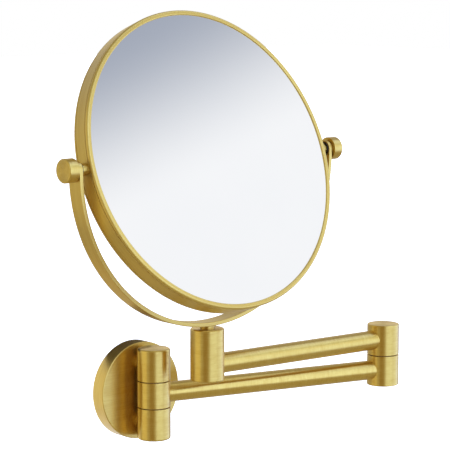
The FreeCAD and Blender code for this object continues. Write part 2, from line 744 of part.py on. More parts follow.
def knob_stud(side):
    """Threaded stud from a knob through the ear into the trunnion."""
    return bar(STUD_RADIUS, X * (side * STUD_START), X * (side * (KNOB_START + STUD_IN_KNOB)))


# Assembly --------------------------------------------------------------------------

def pieces():
    """Every piece with its frame, by name."""
    post = Placement(POST_AXIS, Rotation())
    yield "wall_bracket", wall_bracket(), WALL
    yield "wall_cover", wall_cover(), WALL
    yield "cover_grub_screw", cover_grub_screw(), WALL
    yield "neck_screws", Part.makeCompound([neck_screw(1), neck_screw(-1)]), WALL
    for name, side in (("upper", 1), ("lower", -1)):
        yield f"{name}_neck", neck(side), WALL
        yield f"post_{name}_bush", bush(side * MIDDLE_HALF, -side), LOWER_ARM
    yield "post_top_knuckle", post_top_knuckle(), post
    yield "post_bottom_knuckle", post_bottom_knuckle(), post
    yield "post_pivot_screw", post_pivot_screw(), post
    yield "post_spring_washer", post_spring_washer(), post
    yield "post_middle_knuckle", post_middle_knuckle(), LOWER_ARM
    yield "lower_arm_tube", lower_arm_tube(), LOWER_ARM
    at_elbow = Placement(X * LOWER_ARM_LENGTH, Rotation())
    elbow = LOWER_ARM.multiply(at_elbow)
    yield "elbow_lower_knuckle", elbow_lower_knuckle(), elbow
    yield "elbow_upper_bush", bush(ELBOW_SEAM, -1), elbow
    low = COUNTERBORE_DEPTH - ELBOW_HALF
    yield "elbow_lower_bush", sleeve(low, low + BUSH_LENGTH - SEAM), elbow
    yield "elbow_upper_knuckle", elbow_upper_knuckle(), UPPER_ARM
    yield "elbow_pivot_screw", elbow_pivot_screw(), UPPER_ARM
    yield "elbow_spring_washer", elbow_spring_washer(), UPPER_ARM
    yield "upper_arm_tube", upper_arm_tube(), UPPER_ARM
    at_socket = Placement(X * UPPER_ARM_LENGTH, Rotation())
    yield "yoke_socket", yoke_socket(), UPPER_ARM.multiply(at_socket)
    yield "yoke_band", yoke_band(), YOKE
    yield "yoke_stem", yoke_stem(), YOKE
    yield "band_screw", band_screw(), YOKE
    yield "stem_screw", stem_screw(), YOKE
    yield "stem_thrust_washer", stem_thrust_washer(), YOKE
    yield "stem_spring_washer", stem_spring_washer(), YOKE
    yield "mirror_shell", mirror_shell(), MIRROR
    yield "front_bezel", bezel(1), MIRROR
    yield "rear_bezel", bezel(-1), MIRROR
    yield "plain_glass", plain_glass(), MIRROR
    yield "magnifying_glass", magnifying_glass(), MIRROR
    yield "core_ring", core_ring(), MIRROR
    yield "glass_backing", glass_backing(), MIRROR
    for name, side in (("left", -1), ("right", 1)):
        yield f"{name}_trunnion", trunnion(side), MIRROR
        yield f"{name}_tilt_washer", tilt_washer(side), MIRROR
        yield f"{name}_knob", knob(side), MIRROR
        yield f"{name}_knob_stud", knob_stud(side), MIRROR


os.makedirs("parts", exist_ok=True)
for piece_name, piece_shape, piece_frame in pieces():
    placed(piece_shape, piece_frame).exportStep(f"parts/{piece_name}.step")
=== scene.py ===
"""Looks of a wall-mounted extendable shaving mirror in satin brass, built round its CAD frame."""

import logging
import math
from dataclasses import dataclass, field
from enum import Enum

import bmesh
import bpy
from mathutils import Matrix, Vector


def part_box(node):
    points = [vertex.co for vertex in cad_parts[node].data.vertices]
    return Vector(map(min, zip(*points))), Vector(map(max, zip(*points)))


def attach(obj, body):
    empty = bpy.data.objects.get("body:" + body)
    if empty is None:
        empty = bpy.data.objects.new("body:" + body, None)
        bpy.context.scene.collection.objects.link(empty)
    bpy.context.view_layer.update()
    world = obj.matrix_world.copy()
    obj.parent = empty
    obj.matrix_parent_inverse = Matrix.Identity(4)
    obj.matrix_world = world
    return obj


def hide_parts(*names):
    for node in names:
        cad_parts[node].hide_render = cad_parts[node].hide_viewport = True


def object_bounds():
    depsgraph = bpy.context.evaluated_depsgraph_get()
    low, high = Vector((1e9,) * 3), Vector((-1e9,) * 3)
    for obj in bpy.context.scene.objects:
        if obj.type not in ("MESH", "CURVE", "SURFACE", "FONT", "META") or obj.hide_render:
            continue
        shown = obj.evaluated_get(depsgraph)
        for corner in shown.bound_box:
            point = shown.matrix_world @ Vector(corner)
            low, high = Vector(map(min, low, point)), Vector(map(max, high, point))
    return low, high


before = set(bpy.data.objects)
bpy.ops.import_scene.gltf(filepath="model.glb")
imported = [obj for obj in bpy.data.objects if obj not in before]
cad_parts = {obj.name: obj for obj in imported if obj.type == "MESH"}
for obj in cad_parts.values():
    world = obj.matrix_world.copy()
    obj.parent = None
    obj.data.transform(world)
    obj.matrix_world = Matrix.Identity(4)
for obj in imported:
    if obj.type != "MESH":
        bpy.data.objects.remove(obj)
CAD_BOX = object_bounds()

LOG = logging.getLogger("shaving_mirror")
MM = 0.001
SPECK = MM / 100
HAIR = MM / 1000
SMOOTH_BELOW = math.radians(35)
NEARLY_SQUARE = 0.99
# Facets of a broken edge and of a rounded one.
BROKEN, ROUNDED = 2, 6
GRAIN = "grain"
X, Y, Z = Vector((1, 0, 0)), Vector((0, 1, 0)), Vector((0, 0, 1))

Glow = tuple[float, float, float]
Stops = tuple[tuple[float, Glow], ...]


class Slot(Enum):
    """Material slots of the record."""

    BRASS = "satin_brass"
    MIRROR = "mirror_glass"
    STEEL = "screw_steel"
    SPRING = "spring_steel"
    NYLON = "nylon"
    ZINC = "zinc_bracket"
    PLASTIC = "core_plastic"
    BOARD = "backing_board"


class Lay(Enum):
    """Which way the brush lines run on a turned piece's end face."""

    ROUND = "round"
    LEVEL = "level"


# Small tools -----------------------------------------------------------------------


def linear(code: str) -> tuple[float, float, float, float]:
    """Linear colour of an sRGB hex code.

    Args:
        code: six hex digits after a hash sign.

    Returns:
        Red, green, blue and an alpha of one.
    """
    parts = [int(code[i:i + 2], 16) / 255 for i in (1, 3, 5)]
    light = [p / 12.92 if p <= 0.04045 else ((p + 0.055) / 1.055) ** 2.4 for p in parts]
    return (*light, 1.0)


def add(
    tree: bpy.types.NodeTree, kind: str, inputs: dict | None = None, **settings: object,
) -> bpy.types.Node:
    """Adds a node with its settings, and links or sets its inputs.

    Args:
        tree: the tree that gets the node.
        kind: the node's type name.
        inputs: for each input's name or number, a socket to link or a value to set.
        settings: attributes of the node.

    Returns:
        The new node.
    """
    node = tree.nodes.new(kind)
    for name, value in settings.items():
        setattr(node, name, value)
    for name, value in (inputs or {}).items():
        if isinstance(value, bpy.types.NodeSocket):
            tree.links.new(value, node.inputs[name])
        else:
            node.inputs[name].default_value = value
    return node


def set_stops(node: bpy.types.Node, stops: Stops) -> None:
    """Gives a colour ramp its stops, from straight down at 0 to straight up at 1.

    Args:
        node: the colour ramp node.
        stops: heights in degrees, each with its glow.
    """
    ramp = node.color_ramp
    while len(ramp.elements) < len(stops):
        ramp.elements.new(1.0)
    for element, (height, glow) in zip(ramp.elements, stops):
        element.position = (height + 90) / 180
        element.color = (*glow, 1.0)


def middle(node: str) -> Vector:
    """Centre of a CAD node's box."""
    low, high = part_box(node)
    return (low + high) / 2


def size(node: str) -> Vector:
    """Size of a CAD node's box."""
    low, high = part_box(node)
    return high - low


# Finishes --------------------------------------------------------------------------


@dataclass(frozen=True)
class Finish:
    """A surface as it is bought or made, with its procedural material."""

    name: str
    slot: Slot

    def shade(self, tree: bpy.types.NodeTree, shader: bpy.types.Node) -> None:
        """Sets the pattern on the shader's sockets. Each finish has its own."""
        raise NotImplementedError

    def material(self) -> bpy.types.Material:
        """Makes the finish's material, once.

        Returns:
            The material, the same one each time.
        """
        found = bpy.data.materials.get(self.name)
        if found:
            return found
        made = bpy.data.materials.new(self.name)
        made.use_nodes = True
        shader = made.node_tree.nodes["Principled BSDF"]
        self.shade(made.node_tree, shader)
        return made


@dataclass(frozen=True)
class SatinBrass(Finish):
    """Brass brushed round each turned piece with fine abrasive, then lacquered.

    The fine grooves run round the piece, so that its shine spreads along it in soft
    stripes, with faint lines and slow changes of tone round it. Pitches are in mm.
    """

    light: str = "#e1c05c"
    deep: str = "#d5ae48"
    line_pitch: float = 0.7
    band_pitch: float = 5.0
    rough: float = 0.33
    rough_swing: float = 0.05
    anisotropy: float = 0.84
    grain_turn: float = 0.25
    round_scale: float = 1.6
    line_detail: float = 2.0
    fine_share: float = 0.6
    tone_range: tuple[float, float] = (0.65, 1.35)
    line_range: tuple[float, float] = (0.3, 0.7)
    groove: float = 0.02 * MM
    relief: float = 0.10
    metallic: float = 0.94
    coat: float = 0.6
    coat_rough: float = 0.25

    def shade(self, tree: bpy.types.NodeTree, shader: bpy.types.Node) -> None:
        """Brush lines from the grain map: u in turns round the piece, v in mm across the lines.

        Args:
            tree: the material's tree.
            shader: the shader that gets the pattern.
        """
        grain = add(tree, "ShaderNodeUVMap", uv_map=GRAIN)
        parts = add(tree, "ShaderNodeSeparateXYZ", {0: grain.outputs["UV"]})
        turn = add(tree, "ShaderNodeMath", {
            0: parts.outputs["X"], 1: math.tau,
        }, operation="MULTIPLY")
        first = add(tree, "ShaderNodeMath", {0: turn.outputs[0]}, operation="COSINE")
        second = add(tree, "ShaderNodeMath", {0: turn.outputs[0]}, operation="SINE")
        place = add(tree, "ShaderNodeCombineXYZ", {
            "X": first.outputs[0], "Y": second.outputs[0], "Z": parts.outputs["Y"],
        })
        # The real grooves are under 0.1 mm apart, too fine to show, so they are drawn coarser.
        lines = self.streaks(tree, place.outputs[0], self.line_pitch)
        bands = self.streaks(tree, place.outputs[0], self.band_pitch)
        streaked = add(tree, "ShaderNodeMath", {
            0: lines.outputs[0], 1: bands.outputs[0],
        }, operation="ADD")
        shade = add(tree, "ShaderNodeMapRange", {
            "Value": streaked.outputs[0],
            "From Min": self.tone_range[0], "From Max": self.tone_range[1],
        })
        tone = add(tree, "ShaderNodeMix", {0: shade.outputs[0]}, data_type="RGBA")
        tone.inputs[6].default_value = linear(self.light)
        tone.inputs[7].default_value = linear(self.deep)
        tree.links.new(tone.outputs[2], shader.inputs["Base Color"])
        rough = add(tree, "ShaderNodeMapRange", {
            "Value": lines.outputs[0],
            "From Min": self.line_range[0], "From Max": self.line_range[1],
            "To Min": self.rough - self.rough_swing, "To Max": self.rough + self.rough_swing,
        })
        tree.links.new(rough.outputs[0], shader.inputs["Roughness"])
        bump = add(tree, "ShaderNodeBump", {
            "Height": lines.outputs[0], "Strength": self.relief, "Distance": self.groove,
        })
        tree.links.new(bump.outputs[0], shader.inputs["Normal"])
        tangent = add(tree, "ShaderNodeTangent", direction_type="UV_MAP", uv_map=GRAIN)
        tree.links.new(tangent.outputs[0], shader.inputs["Tangent"])
        shader.inputs["Metallic"].default_value = self.metallic
        shader.inputs["Anisotropic"].default_value = self.anisotropy
        shader.inputs["Anisotropic Rotation"].default_value = self.grain_turn
        shader.inputs["Coat Weight"].default_value = self.coat
        shader.inputs["Coat Roughness"].default_value = self.coat_rough

    def streaks(
        self, tree: bpy.types.NodeTree, place: bpy.types.NodeSocket, pitch: float,
    ) -> bpy.types.Node:
        """Noise drawn out along the brush lines.

        Args:
            tree: the material's tree.
            place: the point on the surface, a unit circle round the piece and mm across the lines.
            pitch: distance between lines in mm.

        Returns:
            The noise node.
        """
        stretch = add(tree, "ShaderNodeMapping", {
            "Vector": place, "Scale": (self.round_scale, self.round_scale, 1 / pitch),
        })
        return add(tree, "ShaderNodeTexNoise", {
            "Vector": stretch.outputs[0], "Scale": 1.0,
            "Detail": self.line_detail, "Roughness": self.fine_share,
        })


@dataclass(frozen=True)
class Speckled(Finish):
    """A plain finish whose tone and roughness change over patches of a size in mm."""

    light: str = "#ffffff"
    dark: str = "#eeeeee"
    patch: float = 8.0
    rough_low: float = 0.3
    rough_high: float = 0.4
    metallic: float = 0.0
    bump: float = 0.0
    depth: float = 0.1 * MM
    detail: float = 3.0

    def shade(self, tree: bpy.types.NodeTree, shader: bpy.types.Node) -> None:
        """Noise with patches of a real size in mm drives tone, roughness and relief.

        Args:
            tree: the material's tree.
            shader: the shader that gets the pattern.
        """
        place = add(tree, "ShaderNodeTexCoord")
        noise = add(tree, "ShaderNodeTexNoise", {
            "Vector": place.outputs["Object"], "Scale": 1 / (self.patch * MM),
            "Detail": self.detail,
        })
        tone = add(tree, "ShaderNodeMix", {"Factor": noise.outputs[0]}, data_type="RGBA")
        tone.inputs[6].default_value = linear(self.light)
        tone.inputs[7].default_value = linear(self.dark)
        tree.links.new(tone.outputs[2], shader.inputs["Base Color"])
        shader.inputs["Roughness"].default_value = self.rough_low
        if self.rough_high > self.rough_low:
            rough = add(tree, "ShaderNodeMapRange", {
                "Value": noise.outputs[0], "To Min": self.rough_low, "To Max": self.rough_high,
            })
            tree.links.new(rough.outputs[0], shader.inputs["Roughness"])
        shader.inputs["Metallic"].default_value = self.metallic
        if self.bump:
            relief = add(tree, "ShaderNodeBump", {
                "Height": noise.outputs[0], "Strength": self.bump, "Distance": self.depth,
            })
            tree.links.new(relief.outputs[0], shader.inputs["Normal"])


# Brass brushed round and lacquered: gold with soft stripes of light along each piece.
BRUSHED_BRASS = SatinBrass("brushed_satin_brass", Slot.BRASS)
# Float glass silvered on its back: a clean, cool mirror with the faintest change of tone.
SILVERED_GLASS = Speckled(
    "silvered_float_glass", Slot.MIRROR, "#f7f9fa", "#f3f6f8",
    patch=60.0, rough_low=0.0, rough_high=0.0, metallic=1.0,
)
# Screws of stainless steel, machined and tumbled: grey and evenly dull.
TUMBLED_STEEL = Speckled(
    "tumbled_stainless_steel", Slot.STEEL, "#b9b6b0", "#a19e99",
    patch=1.5, rough_low=0.28, rough_high=0.42, metallic=1.0,
)
# Spring washers of hardened steel, oil-blackened: nearly black with a dull shine.
OILED_SPRING = Speckled(
    "oil_blackened_spring_steel", Slot.SPRING, "#4a4742", "#35322e",
    patch=1.2, rough_low=0.35, rough_high=0.5, metallic=1.0,
)
# Bearings turned from brown, oil-filled nylon: dull and waxy.
BROWN_NYLON = Speckled(
    "turned_brown_nylon", Slot.NYLON, "#b8924a", "#a07c3c",
    patch=3.0, rough_low=0.38, rough_high=0.5,
)
# A bracket die-cast in zinc: dull grey with a fine skin.
CAST_ZINC = Speckled(
    "die_cast_zinc", Slot.ZINC, "#a6a8a9", "#8f9293",
    patch=4.0, rough_low=0.38, rough_high=0.55, metallic=1.0, bump=0.15,
)
# A ring moulded in black ABS with a spark-eroded grain: matt and even.
MOULDED_ABS = Speckled(
    "moulded_black_abs", Slot.PLASTIC, "#26262a", "#1c1c1f",
    patch=0.8, rough_low=0.42, rough_high=0.58, bump=0.2,
)
# Grey backing board, pressed from fibre: rough, with no shine.
FIBRE_BOARD = Speckled(
    "pressed_fibre_board", Slot.BOARD, "#8d8678", "#787163",
    patch=1.0, rough_low=0.75, rough_high=0.9, bump=0.3,
)


# Turned pieces ---------------------------------------------------------------------


@dataclass(frozen=True)
class Corner:
    """A corner of a turned outline: radius and height in metres, and its rounding."""

    radius: float
    height: float
    round: float = 0.0
    steps: int = 4


@dataclass(frozen=True)
class Axis:
    """An axis in the row frame, with the direction that turning starts from."""

    origin: Vector
    along: Vector = field(default_factory=lambda: Z.copy())
    across: Vector = field(default_factory=lambda: X.copy())

    def matrix(self) -> Matrix:
        """Works out the axis's own frame.

        Returns:
            Matrix from that frame, where the axis is Z, to the row frame.
        """
        third = self.along.cross(self.across)
        turn = Matrix((self.across, third, self.along)).transposed().to_4x4()
        return Matrix.Translation(self.origin) @ turn


def upright(node: str) -> Axis:
    """The upright axis through the middle of a CAD node."""
    return Axis(middle(node) * Vector((1, 1, 0)))


def lay_round(bm: bmesh.types.BMesh, lay: Lay) -> None:
    """Grain map of a piece turned about Z: u in turns round it, v in mm across the lines.

    Args:
        bm: the mesh, still in the axis's own frame.
        lay: how the lines run on the upper end face.
    """
    layer = bm.loops.layers.uv.new(GRAIN)
    reach = max(math.hypot(v.co.x, v.co.y) for v in bm.verts)
    heights = [v.co.z for v in bm.verts]
    half = (min(heights) + max(heights)) / 2
    for face in bm.faces:
        centre = face.calc_center_median()
        start = math.atan2(centre.y, centre.x)
        side = 1 if centre.z > half else -1
        level = lay is Lay.LEVEL and face.normal.z > NEARLY_SQUARE
        for loop in face.loops:
            place = loop.vert.co
            radius = math.hypot(place.x, place.y)
            turn = 0.0
            if radius > SPECK:
                turn = math.remainder(math.atan2(place.y, place.x) - start, math.tau)
            if level:
                loop[layer].uv = (place.x / reach / math.tau, place.y / MM)
            else:
                across = place.z + side * (reach - radius)
                loop[layer].uv = ((start + turn) / math.tau, across / MM)


def turned(
    corners: list[Corner], axis: Axis, steps: int = 96, lay: Lay = Lay.ROUND,
) -> bmesh.types.BMesh:
    """Spins an outline about an axis into a closed mesh.

    Args:
        corners: the outline; it closes on itself unless it begins and ends on the axis.
        axis: where it lies in the row frame.
        steps: facets round the axis.
        lay: how the brush lines run on the upper end face.

    Returns:
        The mesh in the row frame, with its grain map.
    """
    bm = bmesh.new()
    verts = [bm.verts.new((c.radius, 0, c.height)) for c in corners]
    ends = list(zip(verts, verts[1:]))
    if corners[0].radius > 0 or corners[-1].radius > 0:
        ends.append((verts[-1], verts[0]))
    for pair in ends:
        bm.edges.new(pair)
    for vert, corner in zip(verts, corners):
        if corner.round:
            bmesh.ops.bevel(
                bm, geom=[vert], offset=corner.round, offset_type="OFFSET", affect="VERTICES",
                segments=corner.steps, profile=0.5, material=-1,
            )
    bmesh.ops.spin(
        bm, geom=bm.verts[:] + bm.edges[:], cent=(0, 0, 0), axis=Z, angle=math.tau,
        steps=steps, use_merge=True, use_duplicate=False,
    )
    bmesh.ops.remove_doubles(bm, verts=bm.verts[:], dist=HAIR)
    bmesh.ops.recalc_face_normals(bm, faces=bm.faces[:])
    lay_round(bm, lay)
    bmesh.ops.transform(bm, matrix=axis.matrix(), verts=bm.verts[:])
    return bm


def finished(
    name: str, bm: bmesh.types.BMesh, finish: Finish, body: str, nodes: list[str],
) -> bpy.types.Object:
    """Makes a mesh into a piece that stands for CAD nodes and rides on their body.

    Args:
        name: the piece's name.
        bm: its mesh in the row frame, used up here.
        finish: what its surface is.
        body: the CAD body that it rides on.
        nodes: the CAD nodes that it stands for.

    Returns:
        The new object.
    """
    mesh = bpy.data.meshes.new(name)
    bm.to_mesh(mesh)
    bm.free()
    for polygon in mesh.polygons:
        polygon.use_smooth = True
    mesh.set_sharp_from_angle(angle=SMOOTH_BELOW)
    mesh.materials.append(finish.material())
    piece = bpy.data.objects.new(name, mesh)
    bpy.context.scene.collection.objects.link(piece)
    weigh = piece.modifiers.new("even_normals", "WEIGHTED_NORMAL")
    weigh.keep_sharp = True
    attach(piece, body)
    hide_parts(*nodes)
    LOG.info("%s: %d faces for %s", name, len(mesh.polygons), ", ".join(nodes))
    return piece


def carry_over(finish: Finish, *nodes: str) -> None:
    """Gives CAD nodes that stay as they are their finish.

    Args:
        finish: what their surface is.
        nodes: the CAD nodes.
    """
    for node in nodes:
        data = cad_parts[node].data
        data.materials.clear()
        data.materials.append(finish.material())
    LOG.info("%s on %s", finish.name, ", ".join(nodes))


# Sub-assemblies --------------------------------------------------------------------


@dataclass
class Pivot:
    """Sizes that the post, the elbow and the socket share, in metres."""

    bore: float = 4.05 * MM
    bush_bore: float = 5.58 * MM
    thread: float = 3.03 * MM
    shoulder: float = 2.0 * MM
    tap: float = 9.0 * MM
    counterbore: float = 6.0 * MM
    sink: float = 5.4 * MM
    seam_edge: float = 0.3 * MM
    bore_edge: float = 0.25 * MM

    def tapped(self, radius: float, low: float, high: float, top_round: float) -> list[Corner]:
        """Outline of a knuckle whose pivot screw is threaded into it from below.

        Args:
            radius: its outer radius.
            low: the height of its lower end.
            high: the height of its upper end.
            top_round: the rounding of its upper edge.

        Returns:
            The outline, from the middle of the top round to the bottom of the thread.
        """
        return [
            Corner(0, high), Corner(radius, high, top_round, ROUNDED),
            Corner(radius, low, self.seam_edge, BROKEN), Corner(self.bore, low),
            Corner(self.bore, low + self.shoulder), Corner(self.thread, low + self.shoulder),
            Corner(self.thread, low + self.tap), Corner(0, low + self.tap),
        ]

    def counterbored(
        self, radius: float, low: float, high: float, bore: float, low_round: float,
    ) -> list[Corner]:
        """Outline of a knuckle bored through, with room for a screw's head underneath.

        Args:
            radius: its outer radius.
            low: the height of its lower end.
            high: the height of its upper end.
            bore: the radius of the bore.
            low_round: the rounding of its lower edge.

        Returns:
            The outline, from the top of the bore round to the bottom of the counterbore.
        """
        return [
            Corner(bore, high), Corner(radius, high, self.seam_edge, BROKEN),
            Corner(radius, low, low_round, ROUNDED),
            Corner(self.counterbore, low, self.bore_edge, BROKEN),
            Corner(self.counterbore, low + self.sink), Corner(bore, low + self.sink),
        ]


@dataclass
class WallMount:
    """The round cover on the wall, with its bracket, necks and the post's fixed knuckles."""

    pivot: Pivot
    body: str = "wall_mount"
    cover_wall: float = 3.0 * MM
    cover_front: float = 2.6 * MM
    cover_edge: float = 0.55 * MM
    neck_bore: float = 2.7 * MM
    neck_edge: float = 0.2 * MM
    end_round: float = 1.4 * MM
    cover_steps: int = 160
    neck_steps: int = 64

    def cover(self) -> None:
        """The cup over the bracket, brushed level on its face and round its side."""
        low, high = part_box("wall_cover")
        radius, depth = (high.z - low.z) / 2, high.y - low.y
        axis = Axis(Vector((0, high.y, 0)) + middle("wall_cover") * Vector((1, 0, 1)), -Y, X)
        inside, front = radius - self.cover_wall, depth - self.cover_front
        outline = [
            Corner(0, depth), Corner(radius, depth, self.cover_edge),
            Corner(radius, 0, self.neck_edge, BROKEN), Corner(inside, 0), Corner(inside, front),
            Corner(0, front),
        ]
        bm = turned(outline, axis, self.cover_steps, Lay.LEVEL)
        finished("cover", bm, BRUSHED_BRASS, self.body, ["wall_cover"])

    def necks(self) -> None:
        """The two distance pieces between cover and post."""
        for node in ("upper_neck", "lower_neck"):
            low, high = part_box(node)
            radius = (high.x - low.x) / 2
            axis = Axis(Vector(((low.x + high.x) / 2, high.y, (low.z + high.z) / 2)), -Y, X)
            reach = high.y - low.y
            outline = [
                Corner(self.neck_bore, reach), Corner(radius, reach, self.neck_edge, BROKEN),
                Corner(radius, 0, self.neck_edge, BROKEN), Corner(self.neck_bore, 0),
            ]
            bm = turned(outline, axis, self.neck_steps)
            finished(f"{node}_piece", bm, BRUSHED_BRASS, self.body, [node])

    def post(self) -> None:
        """The fixed knuckles above and below the swinging one."""
        axis = upright("post_middle_knuckle")
        radius = size("post_middle_knuckle").x / 2
        low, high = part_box("post_top_knuckle")
        bm = turned(self.pivot.tapped(radius, low.z, high.z, self.end_round), axis)
        finished("post_top", bm, BRUSHED_BRASS, self.body, ["post_top_knuckle"])
        low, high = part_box("post_bottom_knuckle")
        outline = self.pivot.counterbored(radius, low.z, high.z, self.pivot.bore, self.end_round)
        bm = turned(outline, axis)
        finished("post_bottom", bm, BRUSHED_BRASS, self.body, ["post_bottom_knuckle"])

    def build(self) -> None:
        """All the pieces that stay on the wall."""
        self.cover()
        self.necks()
        self.post()
        carry_over(CAST_ZINC, "wall_bracket")
        carry_over(TUMBLED_STEEL, "cover_grub_screw", "neck_screws", "post_pivot_screw")
        carry_over(OILED_SPRING, "post_spring_washer")


@dataclass
class Arm:
    """One arm of round tube between two upright axes."""

    body: str
    node: str
    start: Vector
    end: Vector
    wall: float = 1.5 * MM
    edge: float = 0.2 * MM
    steps: int = 80

    def tube(self) -> None:
        """The tube, brushed round."""
        low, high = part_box(self.node)
        radius = (high.z - low.z) / 2
        along = ((self.end - self.start) * Vector((1, 1, 0))).normalized()
        across = along.cross(Z)
        height = (low.z + high.z) / 2
        origin = Vector((self.start.x, self.start.y, height))
        slant = radius * abs(along.y)
        ends = [(x - origin.x) / along.x for x in (low.x + slant, high.x - slant)]
        outline = [
            Corner(radius - self.wall, max(ends)), Corner(radius, max(ends), self.edge, BROKEN),
            Corner(radius, min(ends), self.edge, BROKEN), Corner(radius - self.wall, min(ends)),
        ]
        bm = turned(outline, Axis(origin, along, across), self.steps)
        finished(f"{self.body}_pipe", bm, BRUSHED_BRASS, self.body, [self.node])


@dataclass
class FoldingArm:
    """Both arms with the knuckles and bushes that they turn on."""

    pivot: Pivot
    lower: str = "lower_arm"
    upper: str = "upper_arm"
    top_edge: float = 0.6 * MM
    foot_edge: float = 0.4 * MM
    socket_round: float = 1.2 * MM
    socket_floor: float = 4.4 * MM
    screw_hole: float = 2.55 * MM
    fit: float = 0.05 * MM

    def knuckles(self) -> None:
        """The post's swinging knuckle and the elbow's two."""
        low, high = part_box("post_middle_knuckle")
        radius = size("post_middle_knuckle").x / 2
        bore, edge = self.pivot.bush_bore, self.pivot.seam_edge
        outline = [
            Corner(bore, high.z), Corner(radius, high.z, edge, BROKEN),
            Corner(radius, low.z, edge, BROKEN), Corner(bore, low.z),
        ]
        bm = turned(outline, upright("post_middle_knuckle"))
        finished("post_middle", bm, BRUSHED_BRASS, self.lower, ["post_middle_knuckle"])
        axis = upright("elbow_lower_knuckle")
        low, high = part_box("elbow_lower_knuckle")
        bm = turned(self.pivot.counterbored(radius, low.z, high.z, bore, self.foot_edge), axis)
        finished("elbow_lower", bm, BRUSHED_BRASS, self.lower, ["elbow_lower_knuckle"])
        low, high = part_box("elbow_upper_knuckle")
        bm = turned(self.pivot.tapped(radius, low.z, high.z, self.top_edge), axis)
        finished("elbow_upper", bm, BRUSHED_BRASS, self.upper, ["elbow_upper_knuckle"])

    def socket(self) -> None:
        """The upright socket that the yoke's stem turns in."""
        low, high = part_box("yoke_socket")
        radius = (high.x - low.x) / 2
        bore = size("yoke_stem").x / 2 + self.fit
        under = low.z + self.pivot.sink
        outline = [
            Corner(bore, high.z, self.pivot.bore_edge, BROKEN),
            Corner(radius, high.z, self.socket_round, ROUNDED),
            Corner(radius, low.z, self.socket_round, ROUNDED),
            Corner(self.pivot.counterbore, low.z, self.pivot.bore_edge, BROKEN),
            Corner(self.pivot.counterbore, under), Corner(self.screw_hole, under),
            Corner(self.screw_hole, under + self.socket_floor),
            Corner(bore, under + self.socket_floor),
        ]
        bm = turned(outline, upright("yoke_socket"))
        finished("socket", bm, BRUSHED_BRASS, self.upper, ["yoke_socket"])

    def build(self) -> None:
        """Both arms."""
        self.knuckles()
        elbow = middle("elbow_lower_knuckle")
        Arm(self.lower, "lower_arm_tube", middle("post_middle_knuckle"), elbow).tube()
        Arm(self.upper, "upper_arm_tube", middle("yoke_socket"), elbow).tube()
        self.socket()
        carry_over(
            BROWN_NYLON, "post_upper_bush", "post_lower_bush", "elbow_upper_bush",
            "elbow_lower_bush",
        )
        carry_over(TUMBLED_STEEL, "elbow_pivot_screw")
        carry_over(OILED_SPRING, "elbow_spring_washer")


